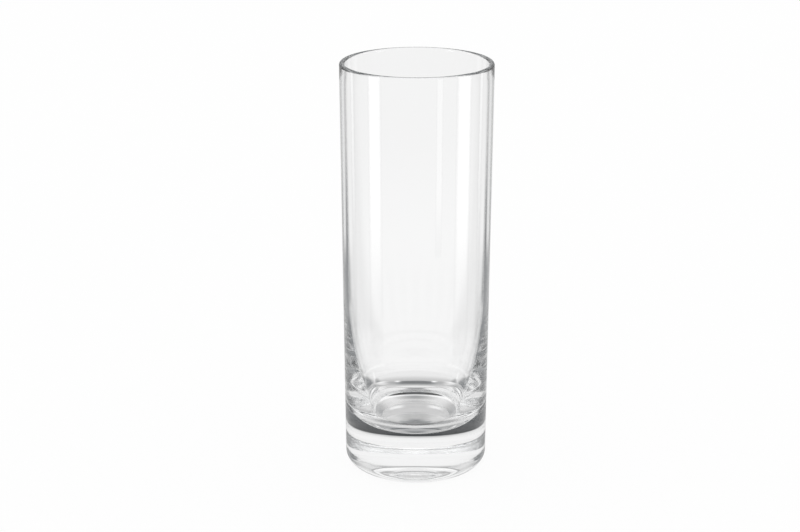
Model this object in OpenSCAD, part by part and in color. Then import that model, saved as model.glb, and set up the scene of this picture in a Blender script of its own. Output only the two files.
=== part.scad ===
// Tall straight bar glass: a thick solid base, a slightly flared wall and a fire-polished rim.
// The glass stands on the plane z = 0 and its axis is Z. All sizes are in millimetres.
// The section is drawn in the plane of its radius: each point is [distance from the axis, height].

/* [Outside] */
// Height from the table to the top of the rim
glass_h = 160; // [130:1:200]
// Outside diameter at the top of the glass
rim_d = 57.8; // [55:0.2:70]
// Outside diameter at the table, before the heel is rounded off
base_d = 55.4; // [51:0.2:57]
// Radius of the rounded heel outside
heel_r = 4; // [2:0.25:6]

/* [Wall] */
// Thickness of the straight wall, which is also the width of the round rim
wall_t = 2; // [1.4:0.1:3]
// Height of the fire-polished lip
lip_h = 5; // [3:0.5:10]
// Height at which the wall starts to thicken towards the base
swell_z = 67; // [60:1:80]
// Radius of the long curve by which the wall thickens
swell_r = 190; // [150:10:400]

/* [Base] */
// Thickness of the solid base at the axis
base_t = 15.8; // [12:0.1:22]
// Radius of the curve between the wall and the inner floor
bowl_r = 10; // [6:0.5:12]
// Radius of the dished inner floor
dish_r = 45; // [38:1:120]
// Diameter of the shallow push-up underneath
punt_d = 40; // [20:1:43]
// Height of the push-up at the axis
punt_h = 3.5; // [0.5:0.1:5]

/* [Hidden] */
$fn = 180;
// Facets of a circle that is much larger than the glass
long_fn = 3600;
// Room by which a cutting shape passes the glass, so that no two faces coincide
over = 5;
// Amount by which a round edge passes the line that it touches, so that the two cross cleanly
seam = 0.002;
// Height by which the base reaches above the bowl curve
bowl_room = 1;
glass_colour = [0.86, 0.92, 0.93, 0.4];

// Lean of the outside wall from the upright, and the direction straight out of it
lean = atan((rim_d - base_d) / 2 / glass_h);
outward = [cos(lean), -sin(lean)];

// Round edges of the outside: the heel and the rim
heel_c = [outside_r(heel_r) - heel_r / cos(lean), heel_r];
rim_round = wall_t / 2;
rim_c = [outside_r(glass_h - rim_round) - rim_round / cos(lean), glass_h - rim_round];

// Long curve that thickens the lower wall: it starts on the straight inner face
swell_start = inside_point(swell_z);
swell_c = swell_start - swell_r * outward;

// Dished floor, and the bowl curve that touches both the floor and the long curve
dish_c = [0, base_t + dish_r];
bowl_c = crossing(swell_c, swell_r - bowl_r, dish_c, dish_r - bowl_r);
bowl_top = swell_c + swell_r * unit(bowl_c - swell_c);
bowl_foot = dish_c + dish_r * unit(bowl_c - dish_c);

// Shallow push-up underneath
punt_r = (pow(punt_d / 2, 2) + pow(punt_h, 2)) / (2 * punt_h);
punt_c = [0, punt_h - punt_r];

// Heights of the level planes where the zones of the glass meet, the lower one just above the bowl curve
base_top = bowl_top.y + bowl_room;
lip_z = glass_h - lip_h;

function unit(v) = v / norm(v);

// Radius of the outside wall at a height
function outside_r(z) = base_d / 2 + (rim_d - base_d) / 2 * z / glass_h;

// Point of the straight inner face at a height
function inside_point(z) = [outside_r(z) - wall_t / cos(lean), z];

// Lower right point where two circles cross, from their centres and radii
function crossing(c1, r1, c2, r2) =
    let (
        gap = norm(c2 - c1),
        along = (gap * gap + r1 * r1 - r2 * r2) / (2 * gap),
        across = sqrt(r1 * r1 - along * along),
        ahead = unit(c2 - c1)
    )
    c1 + along * ahead + across * [ahead.y, -ahead.x];

// Section of the glass as if it were solid: heel, upright side and round rim
module outside_section() {
    polygon([
        [0, 0],
        [heel_c.x, 0],
        heel_c + heel_r * outward,
        rim_c + rim_round * outward,
        [0, rim_c.y]
    ]);
    translate(heel_c) circle(r = heel_r + seam);
    translate(rim_c - [0, seam]) circle(r = rim_round + seam);
}

// Section of the drinking space: straight throat, long curve, bowl curve and dished floor
module inside_section() {
    polygon([
        [0, swell_z],
        swell_start,
        inside_point(glass_h + over),
        [0, glass_h + over]
    ]);
    intersection() {
        translate(swell_c) circle(r = swell_r + seam, $fn = long_fn);
        translate([0, bowl_top.y]) square([rim_d, swell_z + over - bowl_top.y]);
    }
    translate(bowl_c) circle(r = bowl_r + seam);
    polygon([[0, bowl_c.y], bowl_c, bowl_top, [0, bowl_top.y]]);
    intersection() {
        translate(dish_c) circle(r = dish_r, $fn = long_fn);
        polygon([[0, bowl_c.y], bowl_c, bowl_foot, [bowl_foot.x, 0], [0, 0]]);
    }
}

// Section of the whole glass
module glass_section() {
    difference() {
        outside_section();
        inside_section();
        translate(punt_c) circle(r = punt_r, $fn = long_fn);
    }
}

// Ring of glass between two heights
module zone(low, high) {
    color(glass_colour)
        rotate_extrude()
            intersection() {
                glass_section();
                translate([0, low]) square([rim_d, high - low]);
            }
}

// Solid base with the standing ring, the heel, the push-up and the bowl of the floor
module base() {
    zone(0, base_top);
}

// Side wall from the bowl of the floor up to the lip
module wall() {
    zone(base_top, lip_z);
}

// Fire-polished lip with its round edge
module rim() {
    zone(lip_z, glass_h + over);
}

base();
wall();
rim();
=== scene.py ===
"""Looks of a tall straight drinking glass: one clear body of revolution in a white studio.

Lengths are in metres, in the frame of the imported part: the glass stands on the plane z = 0, its axis is Z,
and the camera looks along +Y. A bearing is an angle round the axis, 0 straight behind the glass (+Y) and
positive to the camera's right (+X). Bearings and elevations are in degrees.
"""

from __future__ import annotations

import logging
import math
from collections.abc import Callable
from dataclasses import dataclass
from enum import Enum
from typing import Any, Union

import bpy
import numpy as np
from mathutils import Matrix, Vector

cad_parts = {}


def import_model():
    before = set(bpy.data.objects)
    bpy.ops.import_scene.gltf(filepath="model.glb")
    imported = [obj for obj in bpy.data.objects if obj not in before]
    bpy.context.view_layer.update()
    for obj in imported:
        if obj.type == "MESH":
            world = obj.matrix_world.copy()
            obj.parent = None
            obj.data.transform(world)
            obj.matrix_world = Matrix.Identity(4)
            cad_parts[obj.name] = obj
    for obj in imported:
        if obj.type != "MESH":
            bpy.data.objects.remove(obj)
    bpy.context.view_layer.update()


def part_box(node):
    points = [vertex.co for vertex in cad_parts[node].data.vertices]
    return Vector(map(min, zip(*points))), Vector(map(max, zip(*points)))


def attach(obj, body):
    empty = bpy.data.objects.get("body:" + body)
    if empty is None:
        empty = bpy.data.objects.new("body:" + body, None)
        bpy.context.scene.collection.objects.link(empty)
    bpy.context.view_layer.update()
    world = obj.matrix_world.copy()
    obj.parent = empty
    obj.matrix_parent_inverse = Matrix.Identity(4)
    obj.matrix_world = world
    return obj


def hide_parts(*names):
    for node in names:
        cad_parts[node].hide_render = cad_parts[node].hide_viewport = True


LOG = logging.getLogger("glass")

Array = np.ndarray
Thing = bpy.types.Object
Socket = bpy.types.NodeSocket
Colour = tuple[float, float, float]
Step = tuple[float, float]
Ramp = tuple[float, float, float, float]
Stretch = tuple[float, float, int]
Operand = Union["Value", float]
Number = Union[Array, float]
Profile = Callable[[Array], Array]

WHITE = (1.0, 1.0, 1.0, 1.0)
# Tint of what is dark in the surroundings, and how fast it fades as they get brighter
SHADE: Colour = (0.86, 0.94, 1.00)
SHADE_FADE = 2.0
# Faces of glass that a ray passes at most without going through the bowl
BASE_FACES = 2
# Turns inside the glass from which a ray counts as turned many times, and as piped along the wall
MANY_TURNS = 4
PIPED_TURNS = 9
# Profile that is 1 everywhere
EVEN: Profile = np.ones_like
# Vertices in each ring of a flat sheet
SHEET_COLUMNS = 720


@dataclass
class Value:
    """A number in a shader tree, on which Python's operators add Math nodes."""

    tree: ShaderTree
    socket: Socket

    def __add__(self, other: Operand) -> Value:
        """Sum of two numbers."""
        return self.tree.maths("ADD", self, other)

    __radd__ = __add__

    def __sub__(self, other: Operand) -> Value:
        """Difference of two numbers."""
        return self.tree.maths("SUBTRACT", self, other)

    def __rsub__(self, other: Operand) -> Value:
        """Difference with this number taken off the other."""
        return self.tree.maths("SUBTRACT", other, self)

    def __mul__(self, other: Operand) -> Value:
        """Product of two numbers."""
        return self.tree.maths("MULTIPLY", self, other)

    __rmul__ = __mul__


class ShaderTree:
    """Node tree of a material or a world, filled by short expressions."""

    def __init__(self, owner: Union[bpy.types.Material, bpy.types.World]) -> None:
        """Empties the owner's node tree.

        Args:
            owner: Material or world whose nodes are made here.
        """
        owner.use_nodes = True
        self.tree = owner.node_tree
        self.tree.nodes.clear()

    def node(self, kind: str, settings: dict[str, Any], inputs: dict[Any, Any]) -> bpy.types.Node:
        """Adds a node.

        Args:
            kind: Node type without its leading "ShaderNode".
            settings: Attributes that are set before the sockets.
            inputs: Numbers, colours, Values or sockets by the input's name or number.

        Returns:
            The new node.
        """
        node = self.tree.nodes.new("ShaderNode" + kind)
        for name, value in settings.items():
            setattr(node, name, value)
        for name, value in inputs.items():
            if isinstance(value, Value):
                value = value.socket
            if isinstance(value, Socket):
                self.tree.links.new(value, node.inputs[name])
            else:
                node.inputs[name].default_value = value
        return node

    def maths(self, operation: str, *operands: Operand) -> Value:
        """Adds a Math node on one or two operands and returns its result."""
        node = self.node("Math", {"operation": operation}, dict(enumerate(operands)))
        return Value(self, node.outputs[0])

    def value(self, node: bpy.types.Node, output: str) -> Value:
        """Wraps one output of a node as a number."""
        return Value(self, node.outputs[output])

    def ramp(self, number: Operand, start: float, end: float, low: float = 0.0, high: float = 1.0) -> Value:
        """Smooth step of a number.

        Args:
            number: Number that is stepped.
            start: Where the step begins.
            end: Where the step ends.
            low: Result before the step.
            high: Result after it.

        Returns:
            The stepped number.
        """
        node = self.node(
            "MapRange",
            {"interpolation_type": "SMOOTHSTEP"},
            {"Value": number, "From Min": start, "From Max": end, "To Min": low, "To Max": high},
        )
        return self.value(node, "Result")

    def noise(self, place: Socket, scale: float, detail: float) -> Value:
        """Adds a noise texture at a place."""
        texture = self.node("TexNoise", {}, {"Vector": place, "Scale": scale, "Detail": detail})
        return self.value(texture, "Fac")

    def blend(self, first: Operand, second: Operand, share: Operand) -> Value:
        """Number that runs from the first to the second as the share runs from 0 to 1."""
        return share * (second - first) + first

    def mix(self, share: Value, first: Any, second: Any) -> Socket:
        """Colour that runs from the first to the second as the share runs from 0 to 1."""
        # The sockets for colours share their names with others, so they go by number
        return self.node("Mix", {"data_type": "RGBA"}, {0: share, 6: first, 7: second}).outputs[2]

    def painted(self, name: str) -> Socket:
        """Colour that was painted on the vertices under this name."""
        return self.node("Attribute", {"attribute_name": name}, {}).outputs["Color"]

    def glow(self, colour: Any, strength: Operand) -> Socket:
        """Adds a shader that shines by itself."""
        return self.node("Emission", {}, {"Color": colour, "Strength": strength}).outputs[0]

    def surface(self, shader: Socket) -> None:
        """Makes a shader the surface of the material."""
        self.node("OutputMaterial", {}, {"Surface": shader})

    def light_path(self, output: str) -> Value:
        """One output of Light Path."""
        return self.value(self.node("LightPath", {}, {}), output)

    def turned(self, times: int) -> Value:
        """Whether a ray was turned back inside the glass this many times or more."""
        return self.ramp(self.light_path("Glossy Depth"), times - 1.0, float(times))

    def in_bowl(self) -> Value:
        """Whether a ray went through the bowl, and so passed more faces than one in the base does."""
        return self.ramp(self.light_path("Transmission Depth"), float(BASE_FACES), BASE_FACES + 1.0)


def smooth(share: Array) -> Array:
    """Smooth step: 3 t squared - 2 t cubed, with t the share held between 0 and 1."""
    share = np.clip(share, 0.0, 1.0)
    return share * share * (3.0 - 2.0 * share)


def rise(start: float, end: float) -> Profile:
    """Smooth rise from 0 at start to 1 at end."""
    return lambda number: smooth((number - start) / (end - start))


def fall(start: float, end: float) -> Profile:
    """Smooth fall from 1 at start to 0 at end: 1 less the rise between them."""
    return lambda number: 1 - rise(start, end)(number)


def hump(centre: float, half: float) -> Profile:
    """Smooth hump: 1 at the centre, falling to 0 at the distance half on both sides."""
    return lambda number: fall(0.0, half)(np.abs(number - centre))


def humps(centre: float, gap: float, half: float) -> Profile:
    """Smooth humps at a centre and at every whole gap from it."""
    return lambda number: hump(0.0, half)((number - centre + gap / 2) % gap - gap / 2)


def waves(count: float) -> Profile:
    """Swing between 1 and -1: the cosine of a multiple of the bearing."""
    return lambda number: np.cos(np.radians(count * number))


def both(first: Profile, second: Profile) -> Profile:
    """Product of two profiles."""
    return lambda number: first(number) * second(number)


def plateau(start: float, full: float, fade: float, end: float) -> Profile:
    """Smooth plateau: it rises from 0 at start to 1 at full, and falls from 1 at fade to 0 at end."""
    return both(rise(start, full), fall(fade, end))


def blend(first: Number, second: Number, share: Array) -> Array:
    """Number that runs from the first to the second as the share runs from 0 to 1."""
    return first + (second - first) * share


def unit(vector: Array) -> Array:
    """Vector of length one in the same direction."""
    return vector / np.linalg.norm(vector)


def arc(centre: Array, start: Array, end: Array, count: int) -> Array:
    """Points along the shorter arc round a centre.

    Args:
        centre: Centre of the arc in the plane of the section.
        start: First point, which sets the radius.
        end: Last point.
        count: Number of points, both ends included.

    Returns:
        Array of shape (count, 2): centre + radius (cos a, sin a), with a running evenly from end to end.
    """
    first = math.atan2(*(start - centre)[::-1])
    turn = math.atan2(*(end - centre)[::-1]) - first
    turn = (turn + math.pi) % (2 * math.pi) - math.pi
    angle = first + turn * np.linspace(0.0, 1.0, count)
    return centre + np.linalg.norm(start - centre) * np.stack([np.cos(angle), np.sin(angle)], axis=1)


def line(start: Array, end: Array, count: int) -> Array:
    """Evenly spaced points on the straight line from start to end, both ends included."""
    return start + (end - start) * np.linspace(0.0, 1.0, count)[:, None]


def circles_meet(first: Array, first_r: float, second: Array, second_r: float) -> Array:
    """Lower right point where two circles cross.

    Args:
        first: Centre of the first circle.
        first_r: Its radius.
        second: Centre of the second circle.
        second_r: Its radius.

    Returns:
        The point: along the line of centres to the common chord, then half the chord to the right.
    """
    gap = np.linalg.norm(second - first)
    along = (gap**2 + first_r**2 - second_r**2) / (2 * gap)
    across = math.sqrt(first_r**2 - along**2)
    ahead = unit(second - first)
    return first + along * ahead + across * np.array([ahead[1], -ahead[0]])


def new_object(name: str, vertices: Array, faces: list[Array]) -> Thing:
    """Makes a smooth mesh object at the origin.

    Args:
        name: Name of the object and its mesh.
        vertices: Array of shape (n, 3).
        faces: Arrays of vertex numbers, each of shape (m, 3) or (m, 4).

    Returns:
        The object, linked to the scene.
    """
    mesh = bpy.data.meshes.new(name)
    mesh.from_pydata(vertices.tolist(), [], [face for group in faces for face in group.tolist()])
    mesh.polygons.foreach_set("use_smooth", np.ones(len(mesh.polygons), dtype=bool))
    mesh.update()
    thing = bpy.data.objects.new(name, mesh)
    bpy.context.scene.collection.objects.link(thing)
    return thing


def grid_faces(rows: int, columns: int, wrap: bool) -> Array:
    """Quads of a grid of vertices that is stored row by row.

    Args:
        rows: Number of rows.
        columns: Number of vertices in a row.
        wrap: Whether the last column joins the first.

    Returns:
        Array of shape (m, 4): each vertex with its right neighbour and the same two in the next row.
    """
    across = np.arange(columns if wrap else columns - 1)
    row, column = np.meshgrid(np.arange(rows - 1), across, indexing="ij")
    here, right = row * columns + column, row * columns + (column + 1) % columns
    return np.stack([here, right, right + columns, here + columns], axis=2).reshape(-1, 4)


def polar_sheet(name: str, rings: Array, height: float) -> tuple[Thing, Array, Array]:
    """Makes a flat sheet round the axis.

    Args:
        name: Name of the object.
        rings: Radii of its rings of vertices.
        height: Height of the sheet.

    Returns:
        The sheet, with vertices at (r sin b, r cos b, height), and the radius r and bearing b of each.
    """
    turns = np.arange(SHEET_COLUMNS) * (360.0 / SHEET_COLUMNS)
    radius, bearing = np.broadcast_arrays(rings[:, None], turns[None, :])
    turn = np.radians(bearing)
    points = np.stack([radius * np.sin(turn), radius * np.cos(turn), np.full_like(turn, height)], axis=2)
    sheet = new_object(name, points.reshape(-1, 3), [grid_faces(*radius.shape, wrap=True)])
    return sheet, radius.ravel(), bearing.ravel()


def paint(thing: Thing, name: str, colour: Array) -> None:
    """Stores a colour for each vertex.

    Args:
        thing: Mesh object.
        name: Name of the attribute.
        colour: Array of shape (n, 3) in linear light, or of shape (n, 1) for a grey.
    """
    colour = np.broadcast_to(colour, (len(colour), 3))
    layer = thing.data.attributes.new(name, "FLOAT_COLOR", "POINT")
    opaque = np.column_stack([colour, np.ones(len(colour))])
    layer.data.foreach_set("color", opaque.astype(np.float32).ravel())


def dress(thing: Thing) -> ShaderTree:
    """Gives an object a material of its own and returns the material's empty tree."""
    material = bpy.data.materials.new(thing.name)
    thing.data.materials.append(material)
    return ShaderTree(material)


@dataclass(frozen=True)
class ClearGlass:
    """Fire-polished colourless glass with faint draw lines, finger smears and a scuffed standing ring."""

    refraction: float = 1.52
    tint: Colour = (0.62, 0.74, 0.78)
    tint_density: float = 0.3
    smear_scale: float = 38.0
    smear_detail: float = 3.0
    smear_from: Step = (0.5, 0.75)
    smear_roughness: float = 0.012
    scuff_scale: float = 900.0
    scuff_detail: float = 2.0
    scuff_depth: Ramp = (0.35, 0.7, 0.7, 1.0)
    scuff_height: float = 0.0010
    scuff_roughness: float = 0.22
    wave_scale: float = 60.0
    wave_detail: float = 1.0
    wave_depth: float = 0.000004
    draw_stretch: tuple[float, float, float] = (1.0, 1.0, 0.15)

    def material(self, name: str) -> bpy.types.Material:
        """Builds the material.

        Args:
            name: Name of the material.

        Returns:
            Clear glass whose roughness and surface wave come from noise on Object coordinates.
        """
        material = bpy.data.materials.new(name)
        tree = ShaderTree(material)
        place = tree.node("TexCoord", {}, {}).outputs["Object"]
        height = tree.value(tree.node("SeparateXYZ", {}, {0: place}), "Z")
        smeared = tree.ramp(tree.noise(place, self.smear_scale, self.smear_detail), *self.smear_from)
        worn = tree.ramp(tree.noise(place, self.scuff_scale, self.scuff_detail), *self.scuff_depth)
        scuffed = worn * tree.ramp(height, self.scuff_height / 3, self.scuff_height, 1.0, 0.0)
        drawn = tree.node("Mapping", {}, {"Vector": place, "Scale": self.draw_stretch}).outputs[0]
        wave = tree.noise(drawn, self.wave_scale, self.wave_detail)
        bump = tree.node("Bump", {}, {"Strength": 1.0, "Distance": self.wave_depth, "Height": wave})
        shader = tree.node(
            "BsdfPrincipled",
            {},
            {
                "Base Color": WHITE,
                "Transmission Weight": 1.0,
                "IOR": self.refraction,
                "Roughness": smeared * self.smear_roughness + scuffed * self.scuff_roughness,
                "Normal": bump.outputs[0],
            },
        )
        body = tree.node("VolumeAbsorption", {}, {"Color": (*self.tint, 1.0), "Density": self.tint_density})
        tree.node("OutputMaterial", {}, {"Surface": shader.outputs[0], "Volume": body.outputs[0]})
        return material


@dataclass
class GlassBody:
    """The glass itself: thick base with a push-up, flared wall that thickens downwards, and round rim."""

    heel_r: float = 0.004
    wall_t: float = 0.002
    swell_z: float = 0.067
    swell_r: float = 0.190
    base_t: float = 0.0158
    bowl_r: float = 0.010
    dish_r: float = 0.045
    punt_d: float = 0.040
    punt_h: float = 0.0035
    edge_ease: float = 0.0003
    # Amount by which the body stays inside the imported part's box
    within: float = 0.000001
    # Points of the section on each of its lines and curves, and points round the axis
    punt_points: int = 28
    ring_points: int = 5
    heel_points: int = 28
    side_points: int = 24
    rim_points: int = 16
    throat_points: int = 20
    swell_points: int = 40
    bowl_points: int = 48
    dish_points: int = 28
    segments: int = 288
    finish: ClearGlass = ClearGlass()

    def __post_init__(self) -> None:
        """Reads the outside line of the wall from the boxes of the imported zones."""
        base, wall, rim = (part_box(node)[1] for node in ("base", "wall", "rim"))
        self.height = rim.z
        self.flare = (wall.x - base.x) / (wall.z - base.z)
        self.foot_r = base.x - self.flare * base.z - self.within
        self.lean = math.atan(self.flare)
        self.outward = np.array([math.cos(self.lean), -math.sin(self.lean)])
        self.heel_c = self.outside(self.heel_r, self.heel_r)

    def outside(self, height: float, inset: float = 0.0) -> Array:
        """Point at a height on the outside line of the wall, or on a line that lies inset within it."""
        return np.array([self.foot_r + self.flare * height - inset / math.cos(self.lean), height])

    def underside(self) -> Array:
        """Section of the push-up and the standing ring, with an eased edge between them.

        Returns:
            Points (r, z): an arc down from the axis, then a straight line to the foot of the heel.
        """
        punt_r = self.punt_d / 2
        dome_r = (punt_r**2 + self.punt_h**2) / (2 * self.punt_h)
        dome_c = np.array([0.0, self.punt_h - dome_r])
        reach = punt_r - self.edge_ease
        edge = dome_c + np.array([reach, math.sqrt(dome_r**2 - reach**2)])
        punt = arc(dome_c, np.array([0.0, self.punt_h]), edge, self.punt_points)
        ring_in, ring_out = np.array([punt_r + self.edge_ease, 0.0]), np.array([self.heel_c[0], 0.0])
        return np.concatenate([punt, line(ring_in, ring_out, self.ring_points)])

    def outer_side(self) -> Array:
        """Section of the heel, the outer wall and the round rim, up to the inner face.

        Returns:
            Points (r, z): a quarter arc, a straight line and two quarter arcs.
        """
        rim_r = self.wall_t / 2
        rim_c = self.outside(self.height - rim_r, rim_r)
        shoulder = self.heel_c + self.heel_r * self.outward
        heel = arc(self.heel_c, np.array([self.heel_c[0], 0.0]), shoulder, self.heel_points)
        top = rim_c + np.array([0.0, rim_r])
        outer = arc(rim_c, rim_c + rim_r * self.outward, top, self.rim_points)
        inner = arc(rim_c, top, rim_c - rim_r * self.outward, self.rim_points)
        side = line(shoulder, outer[0], self.side_points)
        return np.concatenate([heel[1:], side[1:], outer[1:], inner[1:]])

    def inner_side(self) -> Array:
        """Section of the inside, down to the axis.

        Returns:
            Points (r, z): the straight throat, the arc of the long swell, the bowl's arc, which touches the
            swell and the floor, and the arc of the dished floor.
        """
        throat = self.outside(self.height - self.wall_t / 2, self.wall_t)
        swell = self.outside(self.swell_z, self.wall_t)
        swell_c = swell - self.swell_r * self.outward
        dish_c = np.array([0.0, self.base_t + self.dish_r])
        bowl_c = circles_meet(swell_c, self.swell_r - self.bowl_r, dish_c, self.dish_r - self.bowl_r)
        bowl_top = swell_c + self.swell_r * unit(bowl_c - swell_c)
        bowl_foot = dish_c + self.dish_r * unit(bowl_c - dish_c)
        parts = [
            line(throat, swell, self.throat_points),
            arc(swell_c, swell, bowl_top, self.swell_points),
            arc(bowl_c, bowl_top, bowl_foot, self.bowl_points),
            arc(dish_c, bowl_foot, np.array([0.0, self.base_t]), self.dish_points),
        ]
        return np.concatenate([part[1:] for part in parts])

    def build(self) -> Thing:
        """Carries the section round the axis and dresses it.

        Returns:
            One closed mesh: each section point (r, z) becomes the ring (r cos a, r sin a, z), and the two
            points on the axis close it.
        """
        section = np.concatenate([self.underside(), self.outer_side(), self.inner_side()])
        turn = np.arange(self.segments) * 2 * math.pi / self.segments
        radius, height = section[1:-1, 0, None], section[1:-1, 1, None]
        rings = np.stack(np.broadcast_arrays(radius * np.cos(turn), radius * np.sin(turn), height), axis=2)
        poles = np.array([[0.0, 0.0, section[0, 1]], [0.0, 0.0, section[-1, 1]]])
        rows = len(section) - 2
        low, high = rows * self.segments, rows * self.segments + 1
        here = np.arange(self.segments)
        there = (here + 1) % self.segments
        last = (rows - 1) * self.segments
        faces = [
            grid_faces(rows, self.segments, wrap=True),
            np.stack([np.full_like(here, low), there, here], axis=1),
            np.stack([np.full_like(here, high), last + here, last + there], axis=1),
        ]
        glass = new_object("drinking_glass", np.concatenate([rings.reshape(-1, 3), poles]), faces)
        glass.data.materials.append(self.finish.material("clear_glass"))
        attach(glass, "root")
        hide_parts("base", "wall", "rim")
        return glass


class SeenBy(Enum):
    """Rays that see a piece of the studio which the camera itself doesn't see."""

    REFLECTION = "visible_glossy"
    REFRACTION = "visible_transmission"

    def apply(self, thing: Thing) -> None:
        """Hides an object from every ray but these."""
        for rays in ("camera", "diffuse", "glossy", "transmission", "volume_scatter", "shadow"):
            setattr(thing, "visible_" + rays, self.value == "visible_" + rays)


@dataclass(frozen=True)
class SoftBox:
    """Upright lamp face that the wall of the glass mirrors as a white strip."""

    bearing: float
    width: float
    strength: float
    low: float = 0.0
    dim_h: float = 0.09
    high: float = 0.24
    distance: float = 0.15
    soft: float = 0.25
    rows: int = 61
    columns: int = 33

    def build(self, name: str) -> Thing:
        """Makes the lamp face, turned to the axis of the glass.

        Args:
            name: Name of the object.

        Returns:
            A sheet with the formula centre + across u + up v. Its light rises smoothly from its foot to the
            height dim_h, and from its sides over the share "soft" of its width.
        """
        turn = math.radians(self.bearing)
        ahead = np.array([math.sin(turn), math.cos(turn), 0.0])
        across = np.array([math.cos(turn), -math.sin(turn), 0.0])
        side = np.linspace(-0.5, 0.5, self.columns)[None, :, None]
        up = np.linspace(self.low, self.high, self.rows)[:, None, None]
        sheet = ahead * self.distance + across * side * self.width + np.array([0.0, 0.0, 1.0]) * up
        light = rise(self.low, self.dim_h)(up) * rise(0.0, self.soft)(0.5 - np.abs(side))
        face = new_object(name, sheet.reshape(-1, 3), [grid_faces(self.rows, self.columns, wrap=False)])
        paint(face, "light", light.reshape(-1, 1))
        tree = dress(face)
        tree.surface(tree.glow(tree.painted("light"), self.strength))
        SeenBy.REFLECTION.apply(face)
        return face


@dataclass(frozen=True)
class Patch:
    """Light, or shade where its strength is negative, on part of the floor."""

    strength: float
    over_radius: Profile = EVEN
    over_bearing: Profile = EVEN
    # Degrees by which the patch turns with each metre of the radius
    lean: float = 0.0

    def light(self, radius: Array, bearing: Array) -> Array:
        """Strength times the profile over the radius times the profile over the leaning bearing."""
        return self.strength * self.over_radius(radius) * self.over_bearing(bearing - self.lean * radius)


def total(patches: tuple[Patch, ...], radius: Array, bearing: Array) -> Number:
    """Sum of the light of several patches."""
    return sum(patch.light(radius, bearing) for patch in patches)


@dataclass(frozen=True)
class Layer:
    """Part of a look: an even light with patches on it.

    It hides the layers before it where its cover is 1, less the share that is spared.
    """

    even: float
    patches: tuple[Patch, ...] = ()
    cover: Patch = Patch(1.0)
    spared: Patch = Patch(0.0)

    def over(self, below: Array, radius: Array, side: Array) -> Array:
        """Brightness below this layer, blended by its cover into its even light plus its patches."""
        light = self.even + total(self.patches, radius, side)
        return blend(below, light, self.cover.light(radius, side) * (1 - self.spared.light(radius, side)))


Look = tuple[Layer, ...]


def layered(look: Look, radius: Array, side: Array) -> Array:
    """Brightness of the floor for one kind of ray.

    Args:
        look: Layers in the order in which they lie on each other.
        radius: Distance from the axis.
        side: Bearing without a sign.

    Returns:
        The brightness, 1 where the floor is white.
    """
    lit = np.zeros_like(radius)
    for layer in look:
        lit = layer.over(lit, radius, side)
    return lit


@dataclass(frozen=True)
class FootRing:
    """Painted light and shade on the floor round the foot, seen straight through the bowl and the wall, at
    one fold of its pattern.
    """

    inner_shade: Patch = Patch(-0.87, rise(0.0292, 0.0355))
    darkest: float = 0.11
    outer_light: tuple[Patch, ...] = (
        Patch(0.46, rise(0.0367, 0.0392)),
        Patch(0.34, rise(0.0380, 0.0490)),
        Patch(0.09, rise(0.0490, 0.0700)),
    )
    eased: Patch = Patch(0.55, fall(0.0390, 0.0415), rise(9.0, 19.0))
    eased_light: float = 0.62
    white_spot: Patch = Patch(0.80, hump(0.0377, 0.0018), hump(13.6, 3.4))
    white_lens: Patch = Patch(0.55, plateau(0.0335, 0.0352, 0.0388, 0.0405), hump(28.0, 9.0))
    near_shade: Patch = Patch(-0.40, plateau(0.0395, 0.0412, 0.0465, 0.0525), hump(30.0, 4.5))
    wide_shade: Patch = Patch(-0.62, plateau(0.0395, 0.0440, 0.0490, 0.0535), rise(31.0, 40.0))
    far_shade: Patch = Patch(-0.35, hump(0.0555, 0.0030), rise(38.0, 45.0))
    touch_shadow: Patch = Patch(-0.95, plateau(0.02835, 0.02855, 0.0291, 0.0295))
    short_arc: Patch = Patch(0.25, plateau(0.0390, 0.0410, 0.0560, 0.0580), hump(50.9, 0.9), lean=-390.0)
    long_arc: Patch = Patch(0.25, hump(0.0763, 0.0009), plateau(14.0, 18.0, 45.0, 46.0))
    # Metres by which the long arc comes closer to the glass with each degree
    long_arc_slope: float = 0.000554

    def light(self, radius: Array, fold: Array) -> Array:
        """Brightness of the floor.

        Args:
            radius: Distance from the axis.
            fold: Bearing from the nearest fold, without a sign.

        Returns:
            1 on the open floor. A thin painted shadow lies where the glass touches the floor. At each fold a
            soft dark ring of painted shade lies close behind the foot, with a white spot and a white lens of
            painted caustic light beside it. Dark patches of painted shade fill the space to the next fold,
            and two thin arcs of painted light lean across them.
        """
        inner = 1 + self.inner_shade.light(radius, fold)
        outer = self.darkest + total(self.outer_light, radius, fold)
        ring = blend(np.maximum(inner, outer), self.eased_light, self.eased.light(radius, fold))
        whites = (self.white_spot, self.white_lens, self.short_arc)
        shades = (self.near_shade, self.wide_shade, self.far_shade, self.touch_shadow)
        ring = ring + total(whites + shades, radius, fold)
        return ring + self.long_arc.light(radius + self.long_arc_slope * fold, fold)


# Dark spokes far behind the glass, which fade out beside it
SPOKES = both(humps(43.5, 24.5, 10.5), fall(60.0, 85.0))
# Bearings behind the glass that are seen in the dark edges of the wall
WALL_EDGE = plateau(22.5, 29.5, 46.0, 56.0)


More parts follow.
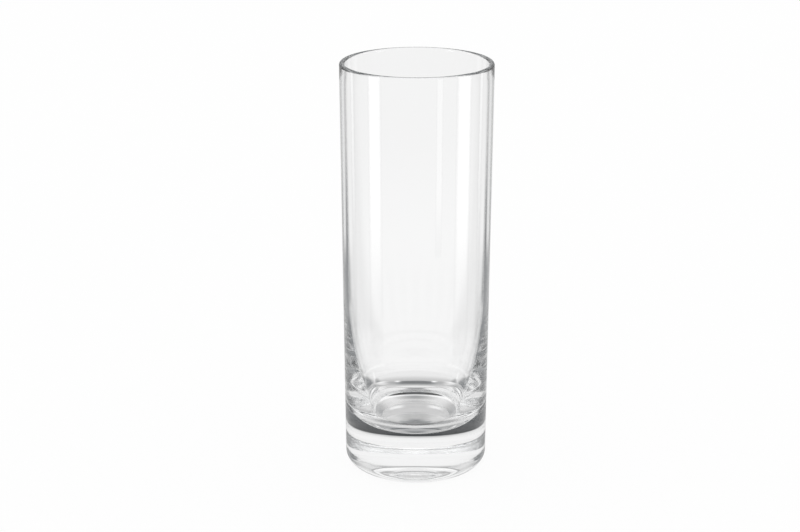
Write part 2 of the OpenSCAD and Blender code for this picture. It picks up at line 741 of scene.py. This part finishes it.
@dataclass(frozen=True)
class FloorLight:
    """Light and shade that a clear glass throws on the floor round it, as they are seen through the glass.

    Each look is the brightness of the floor for one kind of ray.
    """

    level: Step = (0.97, 0.94)
    level_from: Profile = rise(0.24, 0.55)
    open_level: float = 0.92
    brightest: float = 1.1
    below: float = 0.0002
    # Rings of vertices, evenly spaced near the glass and ever wider apart further out
    close_rings: tuple[Stretch, ...] = ((0.0005, 0.0265, 105), (0.0266, 0.0310, 45), (0.0312, 0.056, 100))
    far_rings: Stretch = (0.0565, 1.4, 120)
    # Floor round the foot, its folds, and the shade far behind it that darkens the edges of the wall
    ring: FootRing = FootRing()
    ring_from: Profile = rise(0.0283, 0.0286)
    folds: int = 4
    far_shade: tuple[Patch, ...] = (
        Patch(-0.92, rise(0.165, 0.205), WALL_EDGE),
        Patch(0.25, rise(0.350, 0.500), WALL_EDGE),
        Patch(-0.09, rise(0.090, 0.130), rise(9.0, 12.5)),
    )
    # Rays that went straight through the bowl and end under the glass
    bowl: Look = (
        # Middle, dark at its centre and at its front
        Layer(
            0.10,
            (Patch(0.42, rise(0.0015, 0.0085)), Patch(-0.315, rise(0.0015, 0.0085), rise(65.0, 110.0))),
        ),
        # Wide ring, lighter at the sides and dark at its front, with waves inside the standing ring
        Layer(
            0.0,
            (
                Patch(0.48, EVEN, fall(118.0, 145.0)),
                Patch(0.26, EVEN, hump(70.0, 50.0)),
                Patch(-0.125, hump(0.0193, 0.0014)),
                Patch(-0.125, hump(0.0193, 0.0014), waves(5.0)),
            ),
            Patch(1.0, rise(0.0080, 0.0110)),
        ),
        # Standing ring and heel, waved and dark at their front, with two white lines at their back
        Layer(
            0.0,
            (
                Patch(0.62, EVEN, fall(116.0, 128.0)),
                Patch(-0.24, EVEN, both(waves(4.93), fall(116.0, 128.0))),
                Patch(0.30, hump(0.0240, 0.0016), fall(10.0, 40.0)),
                Patch(0.45, plateau(0.0272, 0.0279, 0.0283, 0.0286), fall(40.0, 70.0)),
            ),
            Patch(1.0, rise(0.0192, 0.0204)),
        ),
    )
    # Rays that were turned back once, in the edge of the wall or at the front of the bowl
    lip: Look = (
        # Dim rings under the glass, with a dark crescent at the front
        Layer(
            0.25,
            (
                Patch(0.30, rise(0.0035, 0.0090)),
                Patch(-0.14, rise(0.0110, 0.0135)),
                Patch(0.34, rise(0.0195, 0.0240)),
                Patch(-0.32, plateau(0.0115, 0.0130, 0.0215, 0.0235), hump(41.7, 13.0), lean=5800.0),
            ),
        ),
        # Shade on the front of the middle
        Layer(0.0, cover=Patch(0.45, fall(0.0110, 0.0130), rise(130.0, 165.0))),
        # Dark ring at the foot, which spares its flanks
        Layer(
            0.10,
            cover=Patch(1.0, rise(0.0268, 0.0285)),
            spared=Patch(0.85, fall(0.0285, 0.0310), rise(28.0, 40.0)),
        ),
        # Dim floor behind
        Layer(0.22, cover=Patch(1.0, rise(0.050, 0.070))),
        # Spokes further out, darkest near the glass, which draw the dark lines along the edges of the wall
        Layer(
            1.0,
            (
                Patch(-0.55, EVEN, rise(60.0, 85.0)),
                Patch(-0.94, EVEN, SPOKES),
                Patch(0.44, rise(0.24, 0.55), SPOKES),
            ),
            Patch(1.0, rise(0.240, 0.320)),
        ),
    )
    # Rays that were turned back two or three times within the base
    turned: Look = (
        # Under the glass, dimmer at the front
        Layer(0.72, (Patch(-0.30, EVEN, rise(95.0, 125.0)),)),
        # Behind it, with a light patch and a dark patch on each side, and dim far away
        Layer(
            0.64,
            (
                Patch(0.26, rise(0.0275, 0.0310)),
                Patch(-0.50, rise(0.120, 0.250)),
                Patch(0.15, plateau(0.038, 0.042, 0.110, 0.140), plateau(4.0, 7.0, 17.0, 21.0)),
                Patch(-0.40, plateau(0.0285, 0.0300, 0.0345, 0.0375), plateau(22.0, 26.0, 36.0, 41.0)),
            ),
            Patch(1.0, rise(0.0245, 0.0270)),
        ),
        # Dark beside it
        Layer(0.20, cover=Patch(1.0, rise(0.0300, 0.0350), rise(42.0, 50.0))),
    )
    # Rays that were turned back many times within the base and the wall
    many: Look = (
        # Under the glass, dimmer at the front
        Layer(0.76, (Patch(-0.30, EVEN, rise(95.0, 135.0)),)),
        # Heel, dark at its back and light at its sides
        Layer(
            0.20,
            (Patch(0.18, rise(0.0265, 0.0280), fall(42.0, 54.0)), Patch(0.70, EVEN, rise(42.0, 54.0))),
            Patch(1.0, rise(0.0230, 0.0245)),
        ),
        # Light and dark spokes further out
        Layer(
            0.66,
            (Patch(-0.18, EVEN, rise(100.0, 130.0)), Patch(0.55, EVEN, waves(6.0))),
            Patch(1.0, rise(0.0290, 0.0315)),
        ),
    )
    # Rays that were piped down the wall and draw the dark outline of the rim: light only round the foot
    piped: Look = (Layer(0.14, (Patch(0.66, plateau(0.0260, 0.0300, 0.1400, 0.2200)),)),)
    # Rays that went through the bowl and were also turned back
    deep: Look = (
        # Under the glass, light at the back but for a mark straight behind, and dark at the front
        Layer(
            0.0,
            (
                Patch(0.96, EVEN, fall(108.0, 130.0)),
                Patch(-0.50, EVEN, plateau(48.0, 66.0, 108.0, 130.0)),
                Patch(-0.75, plateau(0.0160, 0.0178, 0.0210, 0.0230), fall(4.0, 10.0)),
            ),
        ),
        # Round the foot, waved, with shade on each side of the back
        Layer(
            0.95,
            (Patch(-0.75, rise(0.0285, 0.0310), hump(18.0, 16.0)), Patch(0.15, EVEN, waves(15.0))),
            Patch(1.0, rise(0.0225, 0.0250)),
        ),
        # Open floor
        Layer(1.0, cover=Patch(1.0, rise(0.12, 0.20))),
    )

    def through_bowl(self, radius: Array, bearing: Array) -> Array:
        """Brightness for rays that went straight through the bowl.

        Args:
            radius: Distance from the axis.
            bearing: Bearing from -180 to 180.

        Returns:
            The look under the glass, and beyond the foot the folded ring with the shade far behind it.
        """
        side = np.abs(bearing)
        period = 360.0 / self.folds
        fold = np.abs((bearing + period / 2) % period - period / 2)
        beyond = self.ring.light(radius, fold) + total(self.far_shade, radius, side)
        return blend(layered(self.bowl, radius, side), beyond, self.ring_from(radius))

    def build(self) -> Thing:
        """Makes the sheet just under the glass.

        Returns:
            The sheet, with a colour for each look. Light Path picks the look by the number of faces that a
            ray went through and the number of times that it was turned back. What is dark is slightly blue.
        """
        close = [np.linspace(*stretch) for stretch in self.close_rings]
        rings = np.concatenate([*close, np.geomspace(*self.far_rings)])
        sheet, radius, bearing = polar_sheet("floor_light", rings, -self.below)
        bearing = (bearing + 180) % 360 - 180
        level = blend(*self.level, self.level_from(radius))
        side = np.abs(bearing)
        lights = {
            "open": self.open_level / level,
            "bowl": self.through_bowl(radius, bearing),
            "lip": layered(self.lip, radius, side),
            "turned": layered(self.turned, radius, side),
            "many": layered(self.many, radius, side),
            "piped": layered(self.piped, radius, side),
            "deep": layered(self.deep, radius, side),
        }
        for name, light in lights.items():
            light = light.clip(0.0, self.brightest)[:, None]
            tint = blend(np.array(SHADE), 1.0, (SHADE_FADE * light).clip(0.0, 1.0))
            paint(sheet, name, light * level[:, None] * tint)
        tree = dress(sheet)
        colour = {name: tree.painted(name) for name in lights}
        bowl = tree.in_bowl()
        straight = tree.mix(bowl, colour["open"], colour["bowl"])
        many = tree.mix(tree.turned(PIPED_TURNS), colour["many"], colour["piped"])
        more = tree.mix(tree.turned(MANY_TURNS), colour["turned"], many)
        turned = tree.mix(bowl, tree.mix(tree.turned(2), colour["lip"], more), colour["deep"])
        tree.surface(tree.glow(tree.mix(tree.turned(1), straight, turned), 1.0))
        SeenBy.REFRACTION.apply(sheet)
        return sheet


@dataclass(frozen=True)
class PaintedShadeRing:
    """Painted shade round the foot, just above the heel: a dark flat ring that stands in for the glass's
    shadow on the floor and draws a level dark edge in the solid base.

    Its cover is how much it hides at the glass, and further out.
    """

    name: str
    height: float
    cover: Step
    reach: Step = (0.0281, 0.0500)
    light: Step = (0.045, 0.17)
    cover_reach: float = 0.0035
    rings: int = 60

    def build(self) -> Thing:
        """Makes the ring of painted shade.

        Returns:
            A flat sheet, darkest at the glass and lighter outwards. Only rays that went straight through the
            base see it, and from below it is clear.
        """
        ring, radius, _ = polar_sheet(self.name, np.linspace(*self.reach, self.rings), self.height)
        light = blend(*self.light, rise(*self.reach)(radius))
        paint(ring, "light", light[:, None] * np.array(SHADE))
        inside = self.reach[0]
        covering = blend(*self.cover, rise(inside, inside + self.cover_reach)(radius))
        paint(ring, "cover", covering[:, None])
        tree = dress(ring)
        hides = tree.value(tree.node("Attribute", {"attribute_name": "cover"}, {}), "Fac")
        below = tree.value(tree.node("NewGeometry", {}, {}), "Backfacing")
        hides = hides * (1 - tree.in_bowl()) * (1 - tree.turned(1)) * (1 - below)
        clear = tree.node("BsdfTransparent", {}, {}).outputs[0]
        mix = tree.node("MixShader", {}, {0: hides, 1: clear, 2: tree.glow(tree.painted("light"), 1.0)})
        tree.surface(mix.outputs[0])
        SeenBy.REFRACTION.apply(ring)
        return ring


@dataclass(frozen=True)
class SkyWave:
    """Light and dark bearings of the sky, which lean with the elevation."""

    times: float
    lean: float
    depth: float

    def light(self, tree: ShaderTree, side: Value, up: Value) -> Value:
        """Depth times the cosine of a multiple of the bearing plus a multiple of the elevation."""
        angle = (side * self.times + up * self.lean) * math.radians(1.0)
        return tree.maths("COSINE", angle) * self.depth


@dataclass(frozen=True)
class Sky:
    """Brightness of the surroundings through the glass, by bearing without a sign and by elevation."""

    level: float = 0.93
    least: float = 0.04
    overhead: Step = (52.0, 66.0)
    overhead_dim: float = 0.75
    # Rays that pass straight through the heel
    beside: Step = (18.0, 30.0)
    beside_rise: Step = (6.0, 12.0)
    beside_dim: float = 0.75
    # Rays that are turned back within the base and the wall
    twice: Ramp = (20.0, 40.0, 0.48, 0.90)
    thrice: Ramp = (12.0, 30.0, 0.86, 0.66)
    thrice_wave: SkyWave = SkyWave(6.0, 6.0, 0.16)
    many: Ramp = (60.0, 130.0, 0.74, 0.56)
    many_wave: SkyWave = SkyWave(3.0, 3.0, 0.75)
    many_most: float = 1.15
    many_high: float = 1.45
    many_high_from: Step = (34.0, 48.0)
    # Rays that are turned back and also go through the bowl
    bowl_once: Ramp = (68.0, 82.0, 0.66, 0.33)
    bowl_glint: float = 0.40
    glint_side: Step = (6.0, 13.0)
    glint_end: Ramp = (18.0, 26.0, 1.0, 0.0)
    glint_top: Ramp = (36.0, 44.0, 1.0, 0.0)
    bowl_twice: float = 0.85
    bowl_more: float = 0.95
    bowl_wave: SkyWave = SkyWave(9.0, 6.0, 0.35)
    bowl_front: Ramp = (108.0, 150.0, 1.0, 0.14)
    bowl_back: Ramp = (44.0, 62.0, 0.38, 1.0)
    # Rays that are piped along the wall
    piped_low: float = 0.10
    piped_from: Step = (8.0, 15.0)
    piped: float = 0.44
    piped_wave: SkyWave = SkyWave(3.0, 5.0, 0.60)
    piped_high: float = 1.50
    piped_high_from: Step = (30.0, 40.0)

    def light(self, tree: ShaderTree) -> Value:
        """Adds the nodes of the brightness.

        Args:
            tree: Tree of the world.

        Returns:
            1 for rays that went straight through, but darker beside the glass for those in the base. Rays
            that were turned back see light and dark bearings, and rays that were piped along the wall see a
            dark horizon, streaks above it and a bright sky further up.
        """
        place = tree.node("SeparateXYZ", {}, {0: tree.node("TexCoord", {}, {}).outputs["Generated"]})
        turn = tree.maths("ARCTAN2", tree.value(place, "X"), tree.value(place, "Y"))
        side = tree.maths("ABSOLUTE", turn * math.degrees(1.0))
        up = tree.maths("ARCSINE", tree.value(place, "Z")) * math.degrees(1.0)
        below_top = 1 - tree.ramp(up, *self.overhead) * self.overhead_dim
        in_base = self.in_base(tree, side, up, below_top)
        turned = tree.blend(in_base, self.in_bowl(tree, side, up, below_top), tree.in_bowl())
        turned = tree.blend(turned, self.along_wall(tree, side, up), tree.turned(PIPED_TURNS))
        beside = tree.ramp(side, *self.beside) * tree.ramp(up, *self.beside_rise) * (1 - tree.in_bowl())
        return tree.blend(1 - beside * self.beside_dim, turned, tree.turned(1))

    def in_base(self, tree: ShaderTree, side: Value, up: Value, below_top: Value) -> Value:
        """Brightness for rays that were turned back within the base and the wall.

        Args:
            tree: Tree of the world.
            side: Bearing without a sign.
            up: Elevation.
            below_top: Brightness that falls off overhead.

        Returns:
            Dark overhead for one turn, darker behind the glass for two, faintly waved for three, and for
            more turns strongly waved, but bright high up.
        """
        twice = tree.ramp(side, *self.twice)
        thrice = tree.ramp(side, *self.thrice) + self.thrice_wave.light(tree, side, up)
        low = tree.ramp(side, *self.many) + self.many_wave.light(tree, side, up)
        low = tree.maths("MAXIMUM", tree.maths("MINIMUM", low, self.many_most), self.least)
        many = tree.blend(low, self.many_high, tree.ramp(up, *self.many_high_from))
        few = tree.blend(tree.blend(below_top, twice, tree.turned(2)), thrice, tree.turned(3))
        return tree.blend(few, many, tree.turned(MANY_TURNS))

    def in_bowl(self, tree: ShaderTree, side: Value, up: Value, below_top: Value) -> Value:
        """Brightness for rays that were turned back and also went through the bowl.

        Args:
            tree: Tree of the world.
            side: Bearing without a sign.
            up: Elevation.
            below_top: Brightness that falls off overhead.

        Returns:
            Grey for one turn, darker overhead and with a glint low down behind the glass, and an even light
            for two. For more turns it is waved, and dark behind the glass, behind the camera and overhead.
        """
        glint = tree.ramp(side, *self.glint_side) * tree.ramp(side, *self.glint_end)
        glint = glint * tree.ramp(up, *self.glint_top)
        once = tree.ramp(up, *self.bowl_once) + glint * self.bowl_glint
        waved = self.bowl_wave.light(tree, side, up) + self.bowl_more
        waved = waved * tree.ramp(side, *self.bowl_front) * tree.ramp(side, *self.bowl_back) * below_top
        return tree.blend(once, tree.blend(self.bowl_twice, waved, tree.turned(3)), tree.turned(2))

    def along_wall(self, tree: ShaderTree, side: Value, up: Value) -> Value:
        """Brightness for rays that were piped along the wall.

        Args:
            tree: Tree of the world.
            side: Bearing without a sign.
            up: Elevation.

        Returns:
            Dark at the horizon, streaked above it and bright further up.
        """
        streaks = self.piped_wave.light(tree, side, up) + self.piped
        streaks = tree.maths("MAXIMUM", streaks, self.least)
        lit = tree.blend(streaks, self.piped_high, tree.ramp(up, *self.piped_high_from))
        return tree.blend(self.piped_low, lit, tree.ramp(up, *self.piped_from))

    def colour(self, tree: ShaderTree) -> tuple[Value, Socket]:
        """Brightness and tint, in which dark parts are slightly blue.

        Args:
            tree: Tree of the world.

        Returns:
            The brightness times the level, and the colour by which it is tinted.
        """
        light = self.light(tree)
        pale = tree.maths("MINIMUM", light * SHADE_FADE, 1.0)
        return light * self.level, tree.mix(pale, (*SHADE, 1.0), WHITE)


@dataclass(frozen=True)
class Studio:
    """White floor and surroundings, painted light and shade seen only through the glass, and the lamps."""

    floor_half: float = 4.0
    floor_z: float = -0.0004
    floor_white: float = 0.90
    grain_scale: float = 400.0
    grain_detail: float = 2.0
    grain_from: Step = (0.3, 0.7)
    grain_depth: float = 0.02
    shadow_share: float = 0.06
    mirrored_floor: float = 0.62
    mirrored_sky: float = 0.45
    bounces: int = 96
    floor_light: FloorLight = FloorLight()
    # Rings of painted shade round the foot, seen only through the base
    shade_rings: tuple[PaintedShadeRing, ...] = (
        PaintedShadeRing("painted_shade_ring", height=0.0053, cover=(1.0, 1.0)),
        PaintedShadeRing("painted_shade_fringe", height=0.0040, cover=(0.0, 0.55)),
    )
    through: Sky = Sky()
    lamps: tuple[SoftBox, ...] = (
        SoftBox(bearing=-120.5, width=0.060, strength=3.2),
        SoftBox(bearing=111.5, width=0.072, strength=3.2),
        SoftBox(bearing=-78.0, width=0.020, strength=2.0, dim_h=0.12),
        SoftBox(bearing=78.0, width=0.020, strength=2.0, dim_h=0.12),
        SoftBox(bearing=149.0, width=0.026, strength=1.8, low=0.050, dim_h=0.085),
    )

    def seen(self, tree: ShaderTree, mirrored: float, through: Operand) -> Value:
        """Brightness of the floor or the sky by the kind of ray.

        Args:
            tree: Tree of the floor or the world.
            mirrored: Brightness in the outer reflections of the glass.
            through: Brightness through the glass.

        Returns:
            The brightness, which is 1 to the camera.
        """
        refracted = tree.light_path("Is Transmission Ray")
        reflected = tree.light_path("Is Glossy Ray") * (1 - refracted)
        return 1 - reflected * (1 - mirrored) - refracted * (1 - through)

    def floor(self) -> Thing:
        """Makes the floor.

        Returns:
            A level square. It shines white to the camera and to reflections, and a small share of it is
            matte paper, which takes the shadow of the glass.
        """
        corners = np.array([[-1.0, -1.0], [1.0, -1.0], [1.0, 1.0], [-1.0, 1.0]]) * self.floor_half
        square = np.column_stack([corners, np.full(len(corners), self.floor_z)])
        floor = new_object("floor", square, [np.array([[0, 1, 2, 3]])])
        tree = dress(floor)
        strength = self.seen(tree, self.mirrored_floor, self.floor_light.level[1])
        place = tree.node("TexCoord", {}, {}).outputs["Object"]
        grain = tree.noise(place, self.grain_scale, self.grain_detail)
        paper = tree.ramp(grain, *self.grain_from, self.floor_white - self.grain_depth, self.floor_white)
        matte = tree.node("BsdfDiffuse", {}, {"Color": paper}).outputs[0]
        shines = tree.light_path("Is Camera Ray") * (1 - self.shadow_share)
        shines = shines + tree.light_path("Is Glossy Ray")
        mix = tree.node("MixShader", {}, {0: shines, 1: matte, 2: tree.glow(WHITE, strength)})
        tree.surface(mix.outputs[0])
        return floor

    def sky(self) -> None:
        """Makes the surroundings, which light the floor evenly."""
        world = bpy.data.worlds.new("studio")
        bpy.context.scene.world = world
        tree = ShaderTree(world)
        through, tint = self.through.colour(tree)
        strength = self.seen(tree, self.mirrored_sky, through)
        colour = tree.mix(tree.light_path("Is Transmission Ray"), WHITE, tint)
        glow = tree.node("Background", {}, {"Color": colour, "Strength": strength})
        tree.node("OutputWorld", {}, {"Surface": glow.outputs[0]})

    def build(self) -> None:
        """Makes the whole studio and lets light pass through many faces of glass."""
        self.floor()
        self.sky()
        self.floor_light.build()
        # Painted shade rings round the foot
        for shade_ring in self.shade_rings:
            shade_ring.build()
        for number, lamp in enumerate(self.lamps, start=1):
            lamp.build(f"soft_box_{number}")
        cycles = bpy.context.scene.cycles
        cycles.max_bounces = self.bounces
        cycles.glossy_bounces = self.bounces
        cycles.transmission_bounces = self.bounces


@dataclass(frozen=True)
class Viewpoint:
    """Camera at the photograph's viewing angle. The focal length is in pixels of a picture 800 wide."""

    distance: float = 0.617
    height: float = 0.287
    pitch: float = 18.54
    yaw: float = -0.58
    focal_px: float = 1687.0
    picture_w: float = 800.0
    sensor_w: float = 36.0
    nearest: float = 0.01

    def build(self) -> Thing:
        """Makes the camera and gives it to the scene.

        Returns:
            The camera, turned by its yaw and then tilted down by its pitch.
        """
        pitch, yaw = math.radians(self.pitch), math.radians(self.yaw)
        ahead = Vector((math.sin(yaw) * math.cos(pitch), math.cos(yaw) * math.cos(pitch), -math.sin(pitch)))
        right = Vector((math.cos(yaw), -math.sin(yaw), 0.0))
        data = bpy.data.cameras.new("camera")
        data.sensor_width = self.sensor_w
        data.lens = self.focal_px * self.sensor_w / self.picture_w
        data.clip_start = self.nearest
        camera = bpy.data.objects.new("camera", data)
        camera.matrix_world = Matrix((right, right.cross(ahead), -ahead)).transposed().to_4x4()
        camera.location = (0.0, -self.distance, self.height)
        bpy.context.scene.collection.objects.link(camera)
        bpy.context.scene.camera = camera
        return camera


def main() -> None:
    logging.basicConfig(level=logging.INFO, format="%(name)s: %(message)s")
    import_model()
    glass = GlassBody().build()
    LOG.info("%s: %d faces", glass.name, len(glass.data.polygons))
    Studio().build()
    Viewpoint().build()
    bpy.context.scene.view_settings.view_transform = "Standard"


if __name__ == "__main__":
    main()
